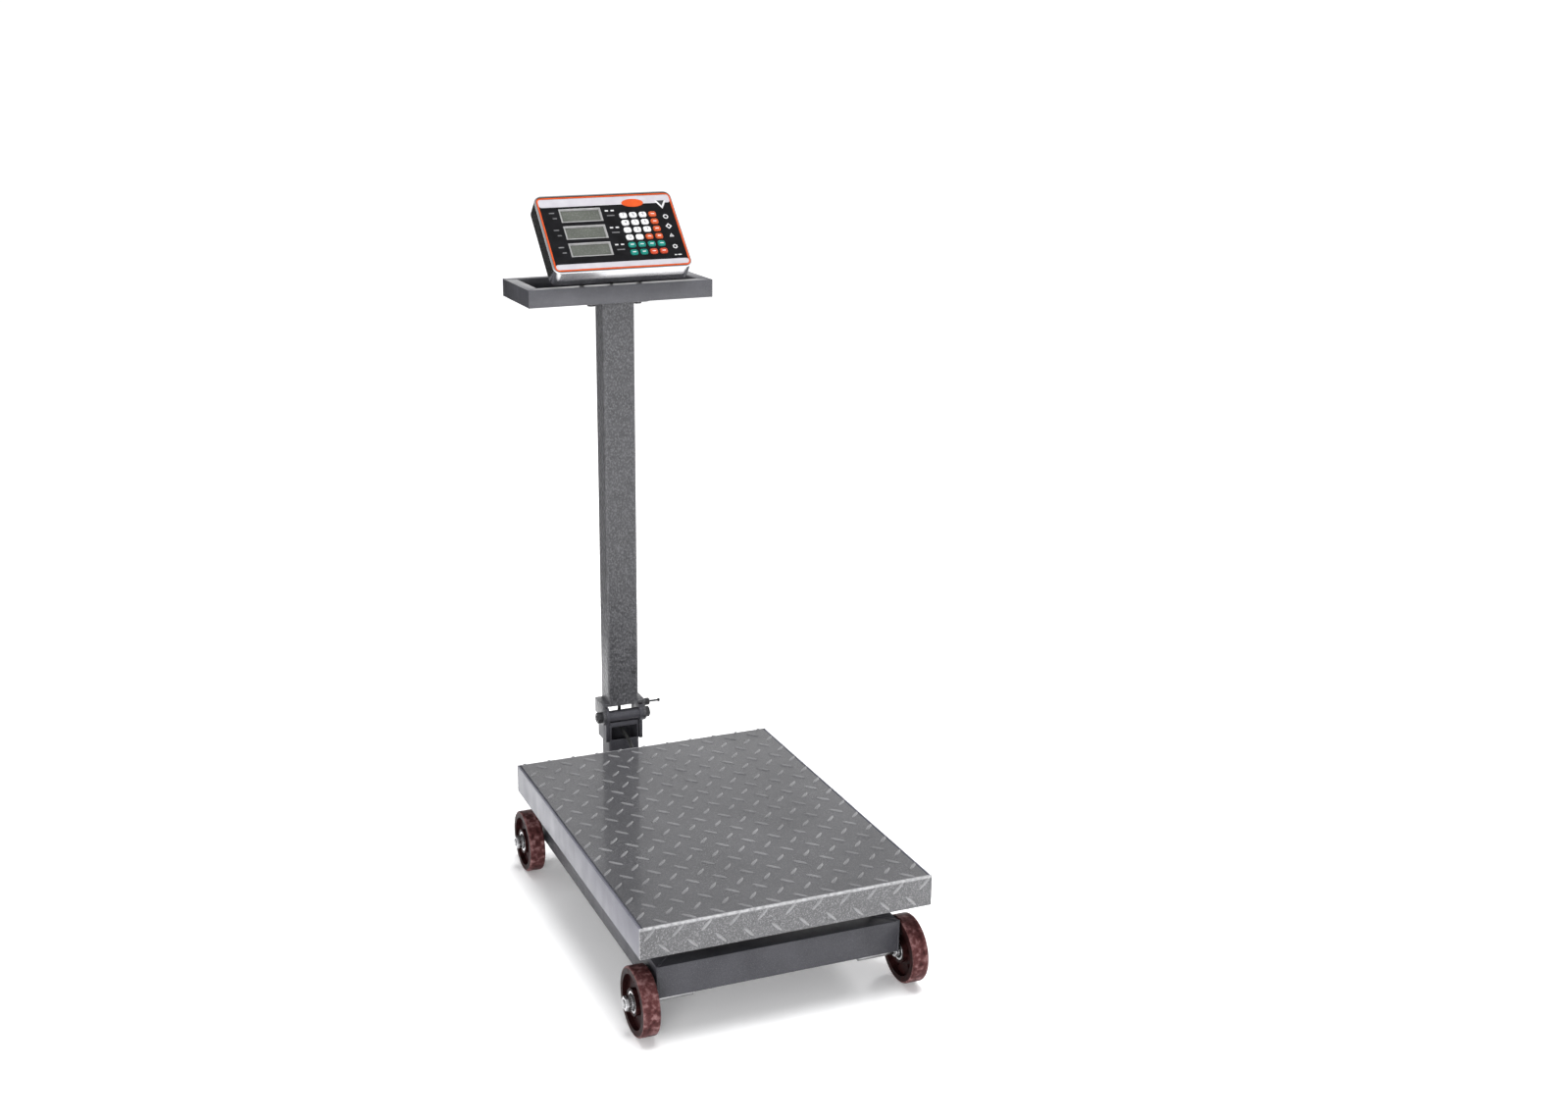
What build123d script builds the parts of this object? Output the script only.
from build123d import *
import os
from math import cos, radians, sin

# Platform shipping scale on four wheels, millimetres, +Z up, front towards -Y.
# The origin is on the floor, under the middle of the whole object's box.

# ---- weighing platform -------------------------------------------------------
deck_length = 600.0
deck_width = 450.0
deck_top = 188.0
sheet = 2.5
skirt_depth = 47.0
skirt_drop = 1.0
seam_gap = 3.0
skirt_ledge = 20.0
fold_radius = 2.0
fit_gap = 0.2

# ---- wheels and axles --------------------------------------------------------
wheel_radius = 51.0
wheel_width = 26.0
wheel_clearance = 6.5
tread_edge = 3.0
rim_inner_radius = 40.0
web_width = 11.0
wheel_hub_radius = 20.0
web_hole_radius = 4.5
web_hole_count = 5
axle_radius = 6.0
axle_hold = 59.0
front_axle_offset = 256.0
rear_axle_offset = 293.0
bearing_radius = 16.0
bearing_width = 10.0
bearing_recess = 0.4
running_gap = 0.05
washer_radius = 10.0
washer_thickness = 2.0
axle_nut_across = 19.0
axle_nut_height = 10.0
axle_tail = 1.5

# ---- base frame --------------------------------------------------------------
frame_inset = 35.0
rail_width = 30.0
rail_height = 50.0
tube_wall = 2.0
weld_gap = 0.2
spine_width = 60.0

# ---- load cell and load frame ------------------------------------------------
cell_length = 150.0
cell_width = 40.0
cell_height = 36.0
cell_eye_radius = 10.0
cell_eye_pitch = 26.0
spacer_height = 6.0
spacer_length = 50.0
load_tube_height = 20.0
load_tube_width = 60.0
arm_width = 40.0
arm_inset = 25.0
arm_offset = 220.0
pad_radius = 15.0
pad_inset = 20.0
stop_gap = 1.5
stop_stud_radius = 5.0
stop_head_across = 17.0
stop_head_height = 8.0

# ---- post, hinge and column --------------------------------------------------
column_gap = 100.0
column_width = 56.0
column_depth = 43.0
column_wall = 2.0
column_corner = 6.0
post_top = 195.0
post_wall = 2.5
window_width = 48.0
window_bottom = 162.0
window_top = 187.0
cheek_thickness = 6.0
cheek_bottom = 160.0
cheek_top = 223.0
hinge_set_back = 8.0
barrel_radius = 10.0
knuckle_radius = 14.0
hinge_bolt_radius = 5.0
bolt_head_across = 17.0
bolt_head_height = 6.5
ear_thickness = 5.0
ear_gap = 0.4
foot_bottom = 226.0
foot_thickness = 5.0
column_top = 931.5
flange_thickness = 3.0
flange_overhang = 24.0
flange_front = 4.0
flange_depth = 82.0

# ---- lock plunger ------------------------------------------------------------
lock_set_back = 31.0
lock_height = 214.0
lock_pin_radius = 2.5
lock_hole_gap = 0.1
plunger_radius = 6.5
plunger_neck_radius = 4.8
plunger_length = 18.0
pull_rod_radius = 1.8
pull_rod_length = 17.0
pull_end_radius = 3.2
pull_end_length = 3.0

# ---- tray --------------------------------------------------------------------
tray_length = 317.0
tray_depth = 152.0
tray_height = 29.0
tray_rim = 20.0
tray_wall = 1.5
tray_set_back = 37.0
floor_thickness = 2.0
tray_bolt_clearance = 12.0
tray_bolt_pitch = 38.0
tray_bolt_radius = 4.0
tray_bolt_hole_gap = 0.3
tray_nut_across = 13.0
tray_nut_height = 5.5

# ---- indicator ---------------------------------------------------------------
lean = 45.0
case_front_y = -33.0
case_lift = 26.5
case_width = 238.0
case_height = 158.0
case_depth = 32.0
case_wall = 1.5
case_corner = 14.0
case_edge = 2.5
panel_width = 232.0
panel_height = 150.0
panel_corner = 9.0
panel_thickness = 0.6
screen_width = 71.5
screen_height = 27.5
screen_pitch = 35.0
screen_x = -47.0
screen_v = 79.0
glass_margin = 3.0
glass_thickness = 3.0
key_columns = 4
key_rows = 6
key_pitch_x = 17.0
key_pitch_v = 15.2
keys_x = 50.0
keys_v = 71.0
key_width = 13.0
key_height = 11.0
key_corner = 4.0
key_rise = 1.8
key_dome = 1.5
key_gap = 0.3
key_flange = 0.8
key_travel = 1.2
board_depth = 8.0
board_thickness = 1.6
board_width = 206.0
board_height = 128.0
switch_size = 6.0
standoff_radius = 3.0
back_gap = 0.2
tilt_v = 61.0
tilt_reach = 10.5
lug_radius = 8.5
lug_thickness = 3.2
lug_x = 48.7
yoke_gap = 0.3
yoke_thickness = 3.0
yoke_width = 18.0
yoke_plate_front = 10.0
yoke_plate_depth = 66.0
tilt_screw_radius = 3.0
tilt_head_radius = 6.5
tilt_head_length = 6.0
rocker_length = 17.0
rocker_width = 10.0
rocker_v = 40.0
rocker_side_gap = 0.3
rocker_end_gap = 1.2
rocker_pivot_depth = 3.0

# ---- signal cable ------------------------------------------------------------
cable_radius = 3.0
cable_set_back = 27.0
cable_hole_radius = 8.0
cable_straight = 25.0
cable_drop_end = 75.0
cable_drop_bend = 50.0
cable_rise_start = 100.0
cable_window_start = 35.0
cable_window_rise = 6.0
cable_turn_rise = 14.0
cable_rise_bend = 60.0
cable_turn_bend = 25.0
cable_tray_rise = 5.0
cable_boss_drop = 20.0
cable_boss_bend = 20.0

# ---- places worked out from the sizes above ----------------------------------
frame_width = deck_width - 2 * frame_inset
arm_length = deck_width - 2 * arm_inset
wheel_inset = frame_width / 2 + wheel_clearance
axle_inner_x = frame_width / 2 - axle_hold
flange_width = column_width + 2 * flange_overhang
tray_bolt_x = column_width / 2 + tray_bolt_clearance
front_reach = max(deck_length / 2, front_axle_offset + wheel_radius)
column_front_offset = deck_length / 2 + column_gap
tray_rear_offset = column_front_offset + column_depth / 2 + tray_set_back + tray_depth / 2
deck_y = (front_reach - tray_rear_offset) / 2
front_axle_y = deck_y - front_axle_offset
rear_axle_y = deck_y + rear_axle_offset
column_front = deck_y + column_front_offset
column_y = column_front + column_depth / 2
rail_bottom = wheel_radius + axle_radius
rail_top = rail_bottom + rail_height
frame_front = front_axle_y - rail_width / 2
frame_rear = rear_axle_y + rail_width / 2
cell_bottom = rail_top + spacer_height
load_frame_bottom = cell_bottom + cell_height + spacer_height
load_frame_top = load_frame_bottom + load_tube_height
deck_underside = deck_top - sheet
hinge_y = column_front + hinge_set_back
hinge_z = post_top + barrel_radius
cheek_outer = column_width / 2 + cheek_thickness
ear_inner = cheek_outer + ear_gap
ear_outer = ear_inner + ear_thickness
lock_y = column_front + lock_set_back
column_foot = foot_bottom + foot_thickness
tray_bottom = column_top + flange_thickness
tray_top = tray_bottom + tray_height
tray_y = column_y + tray_set_back
floor_top = tray_bottom + floor_thickness
floor_length = tray_length - 2 * tray_rim
floor_depth = tray_depth - 2 * tray_rim
bolt_front_y = column_y
cable_y = column_front + cable_set_back

# The indicator's own planes: its face leans back from a lower front edge.
lean_sin = sin(radians(lean))
lean_cos = cos(radians(lean))
case_y = column_front + case_front_y
case_z = tray_top + case_lift
face_normal = (0, -lean_cos, lean_sin)
face_up = (0, lean_sin, lean_cos)
face_plane = Plane(origin=(0, case_y, case_z), x_dir=(1, 0, 0), z_dir=face_normal)
tilt_n = -(case_depth + tilt_reach)
tilt_y = case_y + tilt_v * lean_sin - tilt_n * lean_cos
tilt_z = case_z + tilt_v * lean_cos + tilt_n * lean_sin


def side_plane(x):
    """A plane across the indicator at x, with u up its face and v out of its face."""
    return Plane(origin=(x, case_y, case_z), x_dir=face_up, z_dir=(1, 0, 0))


def mitred_bar(run, width, height, wall, bottom):
    """A box tube along X, mitred at both ends, with its long edge on y = 0."""
    half = run / 2 - weld_gap
    with BuildPart() as bar:
        with BuildSketch(Plane.XY.offset(bottom)):
            Polygon((-half, 0), (half, 0), (half - width, width), (width - half, width), align=None)
        extrude(amount=height)
        near = half - wall
        far = half - width + wall
        with BuildSketch(Plane.XY.offset(bottom + wall)):
            Polygon((-near, wall), (near, wall), (far, width - wall), (-far, width - wall), align=None)
        extrude(amount=height - 2 * wall, mode=Mode.SUBTRACT)
    return bar.part


def ring_of_bars(long_run, cross_run, width, height, wall, bottom, middle_y):
    """Four mitred bars round a rectangle, each a solid of its own."""
    cross_bar = mitred_bar(cross_run, width, height, wall, bottom)
    long_bar = mitred_bar(long_run, width, height, wall, bottom)
    with BuildPart() as ring:
        with Locations(
            Location((0, middle_y - long_run / 2, 0)),
            Location((0, middle_y + long_run / 2, 0), (0, 0, 180)),
        ):
            add(cross_bar)
        with Locations(
            Location((-cross_run / 2, middle_y, 0), (0, 0, -90)),
            Location((cross_run / 2, middle_y, 0), (0, 0, 90)),
        ):
            add(long_bar)
    return ring


def across_plane(x, y, z):
    """A plane square to X, with u towards +Y and v up."""
    return Plane(origin=(x, y, z), x_dir=(0, 1, 0), z_dir=(1, 0, 0))


def cable_tube(points, radii):
    """A round cable along straight runs in the middle plane, joined by arcs."""
    route = [(0, y, z) for y, z in points]
    with BuildPart() as tube:
        with BuildLine() as path:
            FilletPolyline(*route, radius=radii)
        with BuildSketch(path.line ^ 0):
            Circle(cable_radius)
        sweep()
    return tube


os.makedirs("parts", exist_ok=True)

# ==== base frame ==============================================================
# Four mitred box tubes, welded into a rectangle that lies on the axle rods.
base_rails = ring_of_bars(
    frame_rear - frame_front,
    frame_width,
    rail_width,
    rail_height,
    tube_wall,
    rail_bottom,
    (frame_front + frame_rear) / 2,
)
base_rails.part.label = "base_rails"
export_step(base_rails.part, "parts/base_rails.step")

# The spine runs between the cross rails, and the neck goes on from the rear rail to the post.
spine_front = frame_front + rail_width
spine_rear = frame_rear - rail_width
with BuildPart() as spine_beams:
    for start, end in ((spine_front, spine_rear), (frame_rear, column_front)):
        with BuildSketch(Plane.XZ.offset(-end)):
            with Locations((0, rail_bottom + rail_height / 2)):
                Rectangle(spine_width, rail_height)
                Rectangle(spine_width - 2 * tube_wall, rail_height - 2 * tube_wall, mode=Mode.SUBTRACT)
        extrude(amount=end - start)
spine_beams.part.label = "spine_beams"
export_step(spine_beams.part, "parts/spine_beams.step")

# The post is a square tube with a window in its front wall for the cable.
with BuildPart() as base_post:
    with BuildSketch(Plane.XY.offset(rail_bottom)):
        with Locations((0, column_y)):
            RectangleRounded(column_width, column_depth, column_corner)
            RectangleRounded(
                column_width - 2 * post_wall,
                column_depth - 2 * post_wall,
                column_corner - post_wall,
                mode=Mode.SUBTRACT,
            )
    extrude(amount=post_top - rail_bottom)
    with BuildSketch(Plane.XZ.offset(-column_y)):
        with Locations((0, (window_bottom + window_top) / 2)):
            Rectangle(window_width, window_top - window_bottom)
    extrude(amount=column_depth, mode=Mode.SUBTRACT)
base_post.part.label = "base_post"
export_step(base_post.part, "parts/base_post.step")

# Two cheeks welded to the post's sides, with the hinge barrel through them.
with BuildPart() as hinge_knuckle:
    for side in (-1, 1):
        inner = side * column_width / 2
        with BuildSketch(across_plane(inner, column_y, 0)):
            with Locations((0, (cheek_bottom + cheek_top) / 2)):
                Rectangle(column_depth, cheek_top - cheek_bottom)
            with Locations((hinge_y - column_y, hinge_z)):
                Circle(knuckle_radius)
        extrude(amount=side * cheek_thickness)
    with BuildSketch(across_plane(-cheek_outer, hinge_y, hinge_z)):
        Circle(barrel_radius)
    extrude(amount=2 * cheek_outer)
    with BuildSketch(across_plane(-cheek_outer, hinge_y, hinge_z)):
        Circle(hinge_bolt_radius + running_gap)
    extrude(amount=2 * cheek_outer, mode=Mode.SUBTRACT)
    with BuildSketch(across_plane(0, lock_y, lock_height)):
        Circle(lock_pin_radius + lock_hole_gap)
    extrude(amount=cheek_outer, mode=Mode.SUBTRACT)
hinge_knuckle.part.label = "hinge_knuckle"
export_step(hinge_knuckle.part, "parts/hinge_knuckle.step")

# The hinge bolt with its hexagon head on the right, two washers and a nut on the left.
washer_inner = ear_outer + ear_gap
washer_outer = washer_inner + washer_thickness
with BuildPart() as hinge_bolt:
    with BuildSketch(across_plane(-washer_outer - bolt_head_height - axle_tail, hinge_y, hinge_z)):
        Circle(hinge_bolt_radius)
    extrude(amount=2 * washer_outer + bolt_head_height + axle_tail)
    with BuildSketch(across_plane(washer_outer, hinge_y, hinge_z)):
        RegularPolygon(bolt_head_across / 2, 6, major_radius=False)
    extrude(amount=bolt_head_height)
    for start in (-washer_outer, washer_inner):
        with BuildSketch(across_plane(start, hinge_y, hinge_z)):
            Circle(washer_radius)
            Circle(hinge_bolt_radius + running_gap, mode=Mode.SUBTRACT)
        extrude(amount=washer_thickness - running_gap)
    with BuildSketch(across_plane(-washer_outer - running_gap, hinge_y, hinge_z)):
        RegularPolygon(bolt_head_across / 2, 6, major_radius=False)
        Circle(hinge_bolt_radius + running_gap, mode=Mode.SUBTRACT)
    extrude(amount=-bolt_head_height)
hinge_bolt.part.label = "hinge_bolt"
export_step(hinge_bolt.part, "parts/hinge_bolt.step")

# ==== axles and wheels ========================================================
wheel_inner_x = wheel_inset
wheel_outer_x = wheel_inset + wheel_width
bearing_outer_x = wheel_outer_x - bearing_recess
bearing_inner_x = wheel_inner_x + bearing_recess
nut_x = bearing_outer_x + washer_thickness
axle_end_x = nut_x + axle_nut_height + axle_tail
wheel_corners = [
    (side, end, sign, axle_y)
    for end, axle_y in (("front", front_axle_y), ("rear", rear_axle_y))
    for side, sign in (("left", -1), ("right", 1))
]

# Each rod is welded under its cross rail and carries one wheel.
with BuildPart() as axle_rods:
    for side, end, sign, axle_y in wheel_corners:
        with BuildSketch(across_plane(sign * axle_inner_x, axle_y, wheel_radius)):
            Circle(axle_radius)
        extrude(amount=sign * (axle_end_x - axle_inner_x))
axle_rods.part.label = "axle_rods"
export_step(axle_rods.part, "parts/axle_rods.step")

# A sleeve inside each wheel, and a washer and a nut outside it.
with BuildPart() as axle_nuts:
    for side, end, sign, axle_y in wheel_corners:
        with BuildSketch(across_plane(sign * (frame_width / 2 + fit_gap), axle_y, wheel_radius)):
            Circle(washer_radius)
            Circle(axle_radius + running_gap, mode=Mode.SUBTRACT)
        extrude(amount=sign * (bearing_inner_x - frame_width / 2 - 2 * fit_gap))
        with BuildSketch(across_plane(sign * (bearing_outer_x + running_gap), axle_y, wheel_radius)):
            Circle(washer_radius)
            Circle(axle_radius + running_gap, mode=Mode.SUBTRACT)
        extrude(amount=sign * (washer_thickness - 2 * running_gap))
        with BuildSketch(across_plane(sign * nut_x, axle_y, wheel_radius)):
            RegularPolygon(axle_nut_across / 2, 6, major_radius=False)
            Circle(axle_radius + running_gap, mode=Mode.SUBTRACT)
        extrude(amount=sign * axle_nut_height)
axle_nuts.part.label = "axle_nuts"
export_step(axle_nuts.part, "parts/axle_nuts.step")

# Two ball bearings in each wheel, held still by the axle.
with BuildPart() as wheel_bearings:
    for side, end, sign, axle_y in wheel_corners:
        for start in (bearing_inner_x, bearing_outer_x - bearing_width):
            with BuildSketch(across_plane(sign * start, axle_y, wheel_radius)):
                Circle(bearing_radius)
                Circle(axle_radius + running_gap, mode=Mode.SUBTRACT)
            extrude(amount=sign * bearing_width)
wheel_bearings.part.label = "wheel_bearings"
export_step(wheel_bearings.part, "parts/wheel_bearings.step")

# Cast wheels with a recessed web on both faces and a ring of holes through it.
for side, end, sign, axle_y in wheel_corners:
    middle_x = sign * (wheel_inner_x + wheel_width / 2)
    half_web = web_width / 2
    half_width = wheel_width / 2
    bore = bearing_radius + running_gap
    half_land = half_width - bearing_recess - bearing_width - fit_gap
    with BuildPart() as wheel:
        with BuildSketch(Plane(origin=(middle_x, axle_y, wheel_radius), x_dir=(1, 0, 0), z_dir=(0, -1, 0))):
            with Locations((0, (bore + wheel_radius) / 2)):
                Rectangle(wheel_width, wheel_radius - bore)
            with Locations((0, (bore + axle_radius) / 2 + axle_radius / 2)):
                Rectangle(2 * half_land, bore - 2 * axle_radius)
            recess = half_width - half_web
            for face in (-1, 1):
                with Locations((face * (half_web + recess / 2), (wheel_hub_radius + rim_inner_radius) / 2)):
                    Rectangle(recess, rim_inner_radius - wheel_hub_radius, mode=Mode.SUBTRACT)
        revolve(axis=Axis((middle_x, axle_y, wheel_radius), (1, 0, 0)))
        tread = wheel.edges().filter_by(GeomType.CIRCLE).group_by(lambda edge: edge.radius)[-1]
        fillet(tread, tread_edge)
        with BuildSketch(across_plane(middle_x - half_web, axle_y, wheel_radius)):
            with PolarLocations((wheel_hub_radius + rim_inner_radius) / 2, web_hole_count):
                Circle(web_hole_radius)
        extrude(amount=web_width, mode=Mode.SUBTRACT)
    wheel.part.label = f"wheel_{end}_{side}"
    export_step(wheel.part, f"parts/wheel_{end}_{side}.step")

# ==== load cell and load frame ================================================
# A single-point cell lies along the spine; two crossing eyes thin its middle.
with BuildPart() as load_cell:
    with BuildSketch(across_plane(-cell_width / 2, deck_y, cell_bottom + cell_height / 2)):
        Rectangle(cell_length, cell_height)
        with Locations((-cell_eye_pitch / 2, 0), (cell_eye_pitch / 2, 0)):
            Circle(cell_eye_radius, mode=Mode.SUBTRACT)
        Rectangle(cell_eye_pitch, cell_eye_radius / 2, mode=Mode.SUBTRACT)
    extrude(amount=cell_width)
load_cell.part.label = "load_cell"
export_step(load_cell.part, "parts/load_cell.step")

# The lower spacer is at the cell's rear end and the upper one at its front end.
with BuildPart() as load_cell_spacers:
    spacer_shift = (cell_length - spacer_length) / 2
    for bottom, shift in ((rail_top, spacer_shift), (cell_bottom + cell_height, -spacer_shift)):
        with BuildSketch(Plane.XY.offset(bottom)):
            with Locations((0, deck_y + shift)):
                Rectangle(cell_width, spacer_length)
        extrude(amount=spacer_height)
load_cell_spacers.part.label = "load_cell_spacers"
export_step(load_cell_spacers.part, "parts/load_cell_spacers.step")

# A centre tube with an arm across each end carries the deck on its pads.
with BuildPart() as load_frame:
    centre_length = 2 * arm_offset - arm_width - 2 * weld_gap
    with BuildSketch(Plane.XZ.offset(-(deck_y + centre_length / 2))):
        with Locations((0, load_frame_bottom + load_tube_height / 2)):
            Rectangle(load_tube_width, load_tube_height)
            Rectangle(load_tube_width - 2 * tube_wall, load_tube_height - 2 * tube_wall, mode=Mode.SUBTRACT)
    extrude(amount=centre_length)
    for place in (-arm_offset, arm_offset):
        arm_middle = load_frame_bottom + load_tube_height / 2
        with BuildSketch(across_plane(-arm_length / 2, deck_y + place, arm_middle)):
            Rectangle(arm_width, load_tube_height)
            Rectangle(arm_width - 2 * tube_wall, load_tube_height - 2 * tube_wall, mode=Mode.SUBTRACT)
        extrude(amount=arm_length)
load_frame.part.label = "load_frame"
export_step(load_frame.part, "parts/load_frame.step")

pad_spacing = arm_length - 2 * pad_inset
with BuildPart() as frame_pads:
    with BuildSketch(Plane.XY.offset(load_frame_top)):
        with Locations((0, deck_y)):
            with GridLocations(pad_spacing, 2 * arm_offset, 2, 2):
                Circle(pad_radius)
    extrude(amount=deck_underside - load_frame_top)
frame_pads.part.label = "frame_pads"
export_step(frame_pads.part, "parts/frame_pads.step")

# Studs on the side rails stop the arms if the platform is overloaded.
stop_top = load_frame_bottom - stop_gap
with BuildPart() as overload_stops:
    with BuildSketch(Plane.XY.offset(rail_top)):
        with Locations((0, deck_y)):
            with GridLocations(frame_width - rail_width, 2 * arm_offset, 2, 2):
                Circle(stop_stud_radius)
    extrude(amount=stop_top - rail_top)
    for bottom in (rail_top, stop_top - stop_head_height):
        with BuildSketch(Plane.XY.offset(bottom)):
            with Locations((0, deck_y)):
                with GridLocations(frame_width - rail_width, 2 * arm_offset, 2, 2):
                    RegularPolygon(stop_head_across / 2, 6, major_radius=False)
        extrude(amount=stop_head_height)
overload_stops.part.label = "overload_stops"
export_step(overload_stops.part, "parts/overload_stops.step")

# ==== deck ====================================================================
# One sheet folded down at the front and rear; its side edges stop at the seams.
skirt_bottom = deck_top - skirt_depth
deck_half = deck_length / 2
with BuildPart() as deck_plate:
    with BuildSketch(Plane.XY.offset(deck_underside)):
        with Locations((0, deck_y)):
            Rectangle(deck_width - 2 * (sheet + seam_gap), deck_length - 2 * sheet)
    extrude(amount=sheet)
    for place in (deck_y - deck_half + sheet / 2, deck_y + deck_half - sheet / 2):
        with BuildSketch(Plane.XY.offset(skirt_bottom)):
            with Locations((0, place)):
                Rectangle(deck_width, sheet)
        extrude(amount=skirt_depth)
    folds = deck_plate.edges().filter_by(Axis.X).group_by(Axis.Z)[-1]
    fillet(folds.filter_by(lambda edge: edge.length > deck_width - 1), fold_radius)
deck_plate.part.label = "deck_plate"
export_step(deck_plate.part, "parts/deck_plate.step")

# Angle strips along both sides: an upright leg, and a ledge welded under the deck sheet.
with BuildPart() as side_skirts:
    for side in (-1, 1):
        inner = side * (deck_width / 2 - sheet)
        skirt_length = deck_length - 2 * sheet - 2 * fit_gap
        with BuildSketch(Plane.XY.offset(skirt_bottom)):
            with Locations((inner + side * sheet / 2, deck_y)):
                Rectangle(sheet, skirt_length)
        extrude(amount=skirt_depth - skirt_drop)
        with BuildSketch(Plane.XY.offset(deck_underside - sheet)):
            with Locations((inner - side * skirt_ledge / 2, deck_y)):
                Rectangle(skirt_ledge, skirt_length)
        extrude(amount=sheet)
side_skirts.part.label = "side_skirts"
export_step(side_skirts.part, "parts/side_skirts.step")

# ==== column ==================================================================
# The foot is a plate bent down into two ears that hang over the knuckle's cheeks.
with BuildPart() as column_bracket:
    with BuildSketch(Plane.XY.offset(foot_bottom)):
        with Locations((0, column_y)):
            Rectangle(2 * ear_outer, column_depth)
        with Locations((0, cable_y)):
            Circle(cable_hole_radius, mode=Mode.SUBTRACT)
    extrude(amount=foot_thickness)
    for side in (-1, 1):
        with BuildSketch(across_plane(side * ear_inner, column_y, 0)):
            with Locations((0, (hinge_z + column_foot) / 2)):
                Rectangle(column_depth, column_foot - hinge_z)
            with Locations((hinge_y - column_y, hinge_z)):
                Circle(knuckle_radius)
        extrude(amount=side * ear_thickness)
    with BuildSketch(across_plane(-ear_outer, hinge_y, hinge_z)):
        Circle(hinge_bolt_radius + running_gap)
    extrude(amount=2 * ear_outer, mode=Mode.SUBTRACT)
    with BuildSketch(across_plane(0, lock_y, lock_height)):
        Circle(plunger_neck_radius)
    extrude(amount=ear_outer, mode=Mode.SUBTRACT)
column_bracket.part.label = "column_bracket"
export_step(column_bracket.part, "parts/column_bracket.step")

# The column tube, with the flange that the tray is bolted to welded on its top.
with BuildPart() as column_tube:
    with BuildSketch(Plane.XY.offset(column_foot)):
        with Locations((0, column_y)):
            RectangleRounded(column_width, column_depth, column_corner)
    extrude(amount=column_top - column_foot)
    flange_y = column_front - flange_front + flange_depth / 2
    with BuildSketch(Plane.XY.offset(column_top)):
        with Locations((0, flange_y)):
            RectangleRounded(flange_width, flange_depth, column_corner)
    extrude(amount=flange_thickness)
    with BuildSketch(Plane.XY.offset(column_foot)):
        with Locations((0, column_y)):
            RectangleRounded(
                column_width - 2 * column_wall,
                column_depth - 2 * column_wall,
                column_corner - column_wall,
            )
    extrude(amount=column_top - column_foot, mode=Mode.SUBTRACT)
    with BuildSketch(Plane.XY.offset(column_top)):
        with Locations((0, cable_y)):
            Circle(cable_hole_radius)
        with Locations((0, bolt_front_y + tray_bolt_pitch / 2)):
            with GridLocations(2 * tray_bolt_x, tray_bolt_pitch, 2, 2):
                Circle(tray_bolt_radius + tray_bolt_hole_gap)
    extrude(amount=flange_thickness, mode=Mode.SUBTRACT)
column_tube.part.label = "column_tube"
export_step(column_tube.part, "parts/column_tube.step")

# The plunger's housing is screwed into the right ear; the pin slides through it.
with BuildPart() as plunger_housing:
    with BuildSketch(across_plane(ear_inner, lock_y, lock_height)):
        Circle(plunger_neck_radius - running_gap)
    extrude(amount=ear_thickness)
    with BuildSketch(across_plane(ear_outer, lock_y, lock_height)):
        Circle(plunger_radius)
    extrude(amount=plunger_length)
    outer_rim = plunger_housing.faces().sort_by(Axis.X)[-1].edges()
    fillet(outer_rim, plunger_radius / 4)
    with BuildSketch(across_plane(ear_inner, lock_y, lock_height)):
        Circle(lock_pin_radius + running_gap)
    extrude(amount=ear_thickness + plunger_length, mode=Mode.SUBTRACT)
plunger_housing.part.label = "plunger_housing"
export_step(plunger_housing.part, "parts/plunger_housing.step")

# The pin is drawn back flush with the ear; its pull rod stands out to the right.
rod_start = ear_outer + plunger_length
with BuildPart() as lock_pin:
    with BuildSketch(across_plane(ear_inner, lock_y, lock_height)):
        Circle(lock_pin_radius)
    extrude(amount=rod_start - ear_inner)
    with BuildSketch(across_plane(rod_start, lock_y, lock_height)):
        Circle(pull_rod_radius)
    extrude(amount=pull_rod_length)
    with BuildSketch(across_plane(rod_start + pull_rod_length, lock_y, lock_height)):
        Circle(pull_end_radius)
    extrude(amount=pull_end_length)
    chamfer(lock_pin.faces().sort_by(Axis.X)[0].edges(), lock_pin_radius / 4)
    fillet(lock_pin.faces().sort_by(Axis.X)[-1].edges(), pull_end_length / 4)
lock_pin.part.label = "lock_pin"
export_step(lock_pin.part, "parts/lock_pin.step")

# ==== tray ====================================================================
tray_frame = ring_of_bars(tray_depth, tray_length, tray_rim, tray_height, tray_wall, tray_bottom, tray_y)
tray_frame.part.label = "tray_frame"
export_step(tray_frame.part, "parts/tray_frame.step")

with BuildPart() as tray_floor:
    with BuildSketch(Plane.XY.offset(tray_bottom)):
        with Locations((0, tray_y)):
            Rectangle(floor_length, floor_depth)
        with Locations((0, cable_y)):
            Circle(cable_hole_radius, mode=Mode.SUBTRACT)
        with Locations((0, bolt_front_y + tray_bolt_pitch / 2)):
            with GridLocations(2 * tray_bolt_x, tray_bolt_pitch, 2, 2):
                Circle(tray_bolt_radius + tray_bolt_hole_gap, mode=Mode.SUBTRACT)
    extrude(amount=floor_thickness)
tray_floor.part.label = "tray_floor"
export_step(tray_floor.part, "parts/tray_floor.step")

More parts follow.
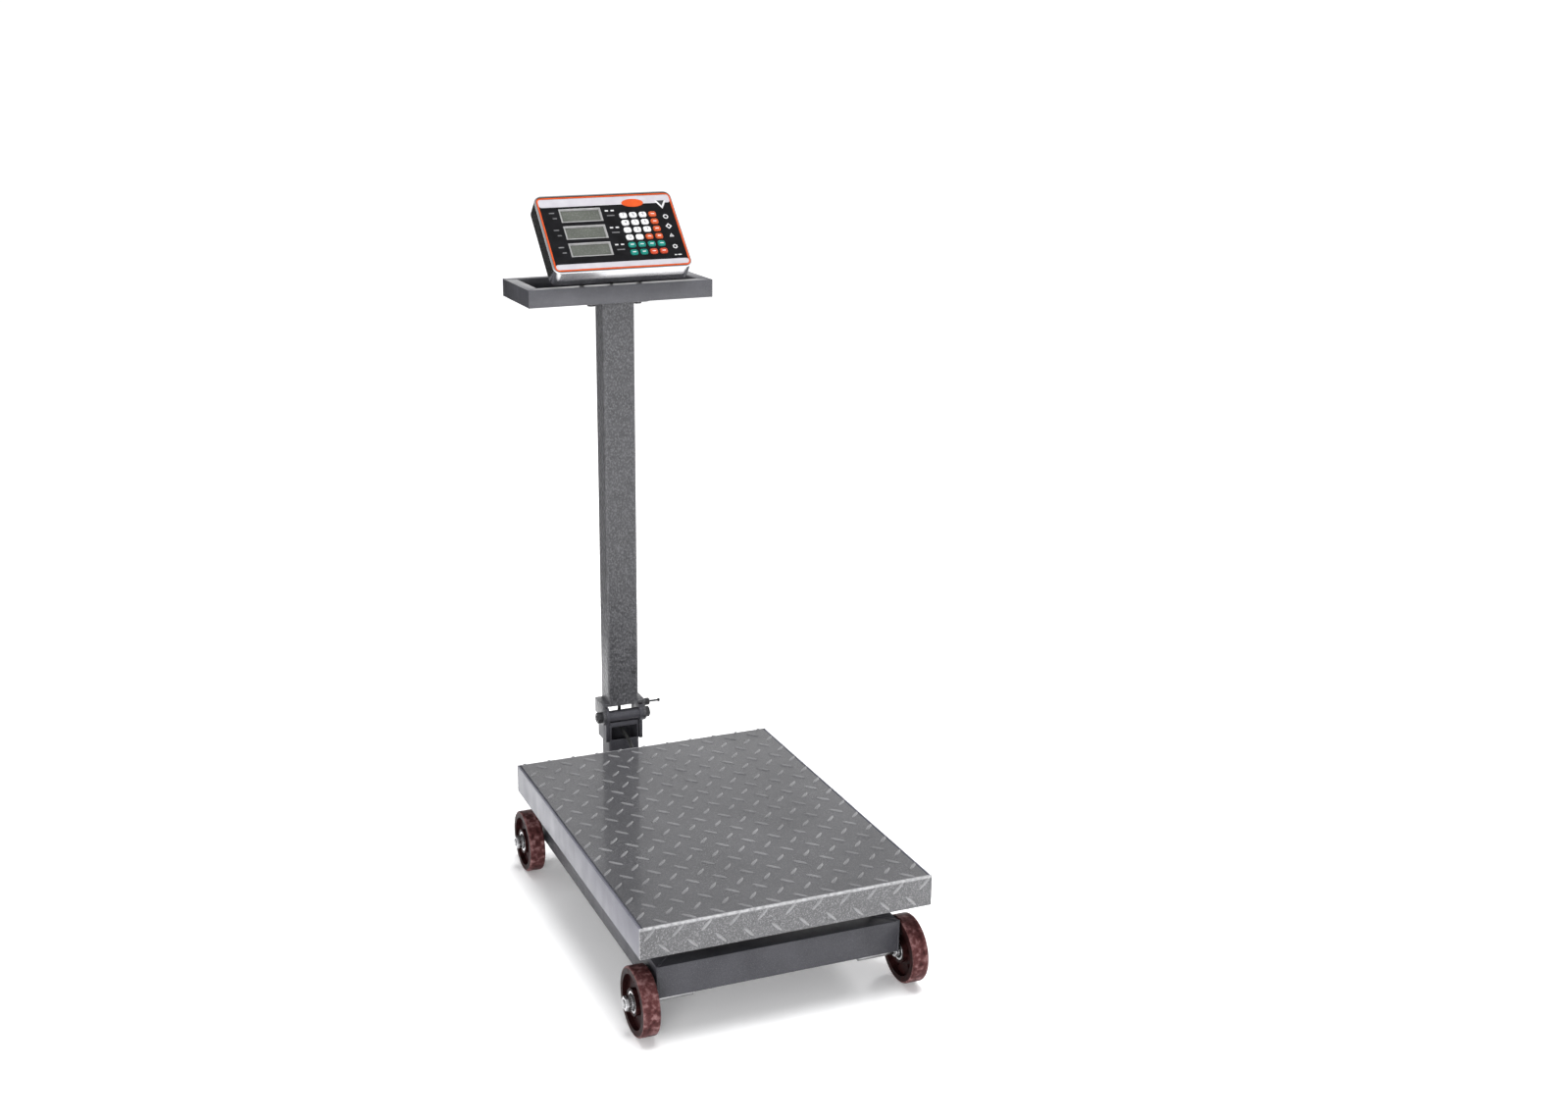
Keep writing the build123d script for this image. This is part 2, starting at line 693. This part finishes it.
# The yoke stands on the tray floor: a plate with an upright at each end.
yoke_inner = lug_x + yoke_gap
yoke_outer = yoke_inner + yoke_thickness
yoke_bottom = floor_top
with BuildPart() as indicator_yoke:
    with BuildSketch(Plane.XY.offset(yoke_bottom)):
        with Locations((0, column_front + yoke_plate_front + yoke_plate_depth / 2)):
            Rectangle(2 * yoke_outer, yoke_plate_depth)
        with Locations((0, cable_y)):
            Circle(cable_hole_radius, mode=Mode.SUBTRACT)
        with Locations((0, bolt_front_y + tray_bolt_pitch / 2)):
            with GridLocations(2 * tray_bolt_x, tray_bolt_pitch, 2, 2):
                Circle(tray_bolt_radius + tray_bolt_hole_gap, mode=Mode.SUBTRACT)
    extrude(amount=yoke_thickness)
    for side in (-1, 1):
        with BuildSketch(across_plane(side * yoke_inner, tilt_y, 0)):
            with Locations((0, (yoke_bottom + tilt_z) / 2)):
                Rectangle(yoke_width, tilt_z - yoke_bottom)
            with Locations((0, tilt_z)):
                Circle(yoke_width / 2)
                Circle(tilt_screw_radius + running_gap, mode=Mode.SUBTRACT)
        extrude(amount=side * yoke_thickness)
indicator_yoke.part.label = "indicator_yoke"
export_step(indicator_yoke.part, "parts/indicator_yoke.step")

# Four bolts hold the flange, the floor and the yoke together, heads below.
bolt_end = yoke_bottom + yoke_thickness + tray_nut_height + axle_tail
with BuildPart() as tray_bolts:
    with BuildSketch(Plane.XY.offset(column_top)):
        with Locations((0, bolt_front_y + tray_bolt_pitch / 2)):
            with GridLocations(2 * tray_bolt_x, tray_bolt_pitch, 2, 2):
                Circle(tray_bolt_radius)
    extrude(amount=bolt_end - column_top)
    for bottom in (column_top - tray_nut_height, yoke_bottom + yoke_thickness):
        with BuildSketch(Plane.XY.offset(bottom)):
            with Locations((0, bolt_front_y + tray_bolt_pitch / 2)):
                with GridLocations(2 * tray_bolt_x, tray_bolt_pitch, 2, 2):
                    RegularPolygon(tray_nut_across / 2, 6, major_radius=False)
        extrude(amount=tray_nut_height)
tray_bolts.part.label = "tray_bolts"
export_step(tray_bolts.part, "parts/tray_bolts.step")

# ==== indicator ===============================================================
case_middle = (0, case_height / 2)
screen_places = [(screen_x, screen_v + step * screen_pitch) for step in (-1, 0, 1)]

# A steel shell with a full front plate, open at the back, windows and key holes cut through.
with BuildPart() as indicator_case:
    with BuildSketch(face_plane.offset(-case_depth)):
        with Locations(case_middle):
            RectangleRounded(case_width, case_height, case_corner)
    extrude(amount=case_depth)
    fillet(indicator_case.faces().sort_by(Axis((0, 0, 0), face_normal))[-1].edges(), case_edge)
    with BuildSketch(face_plane.offset(-case_depth)):
        with Locations(case_middle):
            RectangleRounded(case_width - 2 * case_wall, case_height - 2 * case_wall, case_corner - case_wall)
    extrude(amount=case_depth - case_wall, mode=Mode.SUBTRACT)
    with BuildSketch(face_plane.offset(-board_depth)):
        with Locations(case_middle):
            with GridLocations(board_width - 4 * standoff_radius, board_height - 4 * standoff_radius, 2, 2):
                Circle(standoff_radius)
    extrude(amount=board_depth - case_wall)
    with BuildSketch(face_plane.offset(-case_wall)):
        with Locations(*screen_places):
            Rectangle(screen_width, screen_height)
        with Locations((keys_x, keys_v)):
            with GridLocations(key_pitch_x, key_pitch_v, key_columns, key_rows):
                RectangleRounded(key_width + 2 * key_gap, key_height + 2 * key_gap, key_corner + key_gap)
    extrude(amount=case_wall, mode=Mode.SUBTRACT)
    with BuildSketch(side_plane(case_width / 2 - case_wall)):
        with Locations((rocker_v, -case_depth / 2)):
            Rectangle(rocker_length + 2 * rocker_end_gap, rocker_width + 2 * rocker_side_gap)
    extrude(amount=case_wall, mode=Mode.SUBTRACT)
indicator_case.part.label = "indicator_case"
export_step(indicator_case.part, "parts/indicator_case.step")

# The printed panel lies on the front plate and has the same openings.
with BuildPart() as face_panel:
    with BuildSketch(face_plane):
        with Locations(case_middle):
            RectangleRounded(panel_width, panel_height, panel_corner)
        with Locations(*screen_places):
            Rectangle(screen_width, screen_height, mode=Mode.SUBTRACT)
        with Locations((keys_x, keys_v)):
            with GridLocations(key_pitch_x, key_pitch_v, key_columns, key_rows):
                RectangleRounded(
                    key_width + 2 * key_gap,
                    key_height + 2 * key_gap,
                    key_corner + key_gap,
                    mode=Mode.SUBTRACT,
                )
    extrude(amount=panel_thickness)
face_panel.part.label = "face_panel"
export_step(face_panel.part, "parts/face_panel.step")

with BuildPart() as display_glass:
    with BuildSketch(face_plane.offset(-case_wall)):
        with Locations(*screen_places):
            Rectangle(screen_width + 2 * glass_margin, screen_height + 2 * glass_margin)
    extrude(amount=-glass_thickness)
display_glass.part.label = "display_glass"
export_step(display_glass.part, "parts/display_glass.step")

# The circuit board hangs on the standoffs and has a switch under each key.
switch_top = -(case_wall + key_flange + key_travel + key_gap)
with BuildPart() as circuit_board:
    with BuildSketch(face_plane.offset(-board_depth)):
        with Locations(case_middle):
            Rectangle(board_width, board_height)
    extrude(amount=-board_thickness)
    with BuildSketch(face_plane.offset(-board_depth)):
        with Locations((keys_x, keys_v)):
            with GridLocations(key_pitch_x, key_pitch_v, key_columns, key_rows):
                Rectangle(switch_size, switch_size)
    extrude(amount=board_depth + switch_top)
circuit_board.part.label = "circuit_board"
export_step(circuit_board.part, "parts/circuit_board.step")

# The back plate carries two lugs on the tilt axis and the cable's entry boss between them.
with BuildPart() as indicator_back:
    with BuildSketch(face_plane.offset(-case_depth)):
        with Locations(case_middle):
            RectangleRounded(
                case_width - 2 * (case_wall + back_gap),
                case_height - 2 * (case_wall + back_gap),
                case_corner - case_wall - back_gap,
            )
    extrude(amount=case_wall)
    for inner, thickness in (
        (-lug_x, lug_thickness),
        (lug_x - lug_thickness, lug_thickness),
        (-cable_hole_radius, 2 * cable_hole_radius),
    ):
        with BuildSketch(side_plane(inner)):
            with Locations((tilt_v, -(case_depth + tilt_reach / 2))):
                Rectangle(2 * lug_radius, tilt_reach)
            with Locations((tilt_v, tilt_n)):
                Circle(lug_radius)
        extrude(amount=thickness)
    for inner in (-lug_x, lug_x - lug_thickness):
        with BuildSketch(side_plane(inner)):
            with Locations((tilt_v, tilt_n)):
                Circle(tilt_screw_radius + running_gap)
        extrude(amount=lug_thickness, mode=Mode.SUBTRACT)
indicator_back.part.label = "indicator_back"
export_step(indicator_back.part, "parts/indicator_back.step")

# Two screws through the yoke into the lugs, with round heads outside.
with BuildPart() as tilt_screws:
    for side in (-1, 1):
        with BuildSketch(across_plane(side * (lug_x - lug_thickness), tilt_y, tilt_z)):
            Circle(tilt_screw_radius)
        extrude(amount=side * (lug_thickness + yoke_thickness + 2 * yoke_gap))
        with BuildSketch(across_plane(side * (yoke_outer + yoke_gap), tilt_y, tilt_z)):
            Circle(tilt_head_radius)
        extrude(amount=side * tilt_head_length)
tilt_screws.part.label = "tilt_screws"
export_step(tilt_screws.part, "parts/tilt_screws.step")

# The rocker switch in the right-hand side wall, with its lower end pressed in.
with BuildPart() as power_switch:
    rocker_plane = Plane(
        origin=face_plane.from_local_coords((case_width / 2, rocker_v, -(case_depth + rocker_width) / 2)),
        x_dir=face_up,
        z_dir=face_normal,
    )
    half_rocker = rocker_length / 2
    with BuildSketch(rocker_plane):
        Polygon(
            (-half_rocker, 2 * rocker_pivot_depth),
            (half_rocker, 2 * rocker_pivot_depth),
            (half_rocker, -rocker_pivot_depth),
            (0, -rocker_pivot_depth / 3),
            (-half_rocker, 0),
            align=None,
        )
    extrude(amount=rocker_width)
power_switch.part.label = "power_switch"
export_step(power_switch.part, "parts/power_switch.step")

# Each key is a domed cap with a flange that holds it behind the front plate.
key_base = face_plane.offset(-case_wall)
for row in range(key_rows):
    for column in range(key_columns):
        key_x = keys_x + (column - (key_columns - 1) / 2) * key_pitch_x
        key_v = keys_v + ((key_rows - 1) / 2 - row) * key_pitch_v
        with BuildPart() as key:
            with BuildSketch(key_base):
                with Locations((key_x, key_v)):
                    RectangleRounded(key_width, key_height, key_corner)
            extrude(amount=case_wall + panel_thickness + key_rise)
            fillet(key.faces().sort_by(Axis((0, 0, 0), face_normal))[-1].edges(), key_dome)
            with BuildSketch(key_base):
                with Locations((key_x, key_v)):
                    Rectangle(key_pitch_x - 4 * key_gap, key_pitch_v - 4 * key_gap)
            extrude(amount=-key_flange)
        name = f"key_row{row + 1}_col{column + 1}"
        key.part.label = name
        export_step(key.part, f"parts/{name}.step")

# ==== signal cable ============================================================
# From the cell over the rear rail, through the post's window and up to the foot plate.
cell_exit = (deck_y + cell_length / 2, cell_bottom + cell_height / 2)
cable_rest = rail_top + cable_radius + fit_gap
base_route = [
    cell_exit,
    (cell_exit[0] + cable_straight, cell_exit[1]),
    (cell_exit[0] + cable_drop_end, cable_rest),
    (column_front - cable_rise_start, cable_rest),
    (column_front - cable_window_start, window_bottom + cable_window_rise),
    (cable_y, window_bottom + cable_turn_rise),
    (cable_y, foot_bottom),
]
base_bends = (cable_drop_bend, cable_drop_bend, cable_rise_bend, cable_rise_bend, cable_turn_bend)
signal_cable_base = cable_tube(base_route, base_bends)
signal_cable_base.part.label = "signal_cable_base"
export_step(signal_cable_base.part, "parts/signal_cable_base.step")

# Up inside the column, through the tray floor and on to the indicator's boss.
boss_bottom = tilt_z - lug_radius - yoke_gap
column_route = [
    (cable_y, foot_bottom),
    (cable_y, floor_top + yoke_thickness + cable_tray_rise),
    (tilt_y, boss_bottom - cable_boss_drop),
    (tilt_y, boss_bottom),
]
signal_cable_column = cable_tube(column_route, (cable_boss_bend, cable_boss_bend))
signal_cable_column.part.label = "signal_cable_column"
export_step(signal_cable_column.part, "parts/signal_cable_column.step")
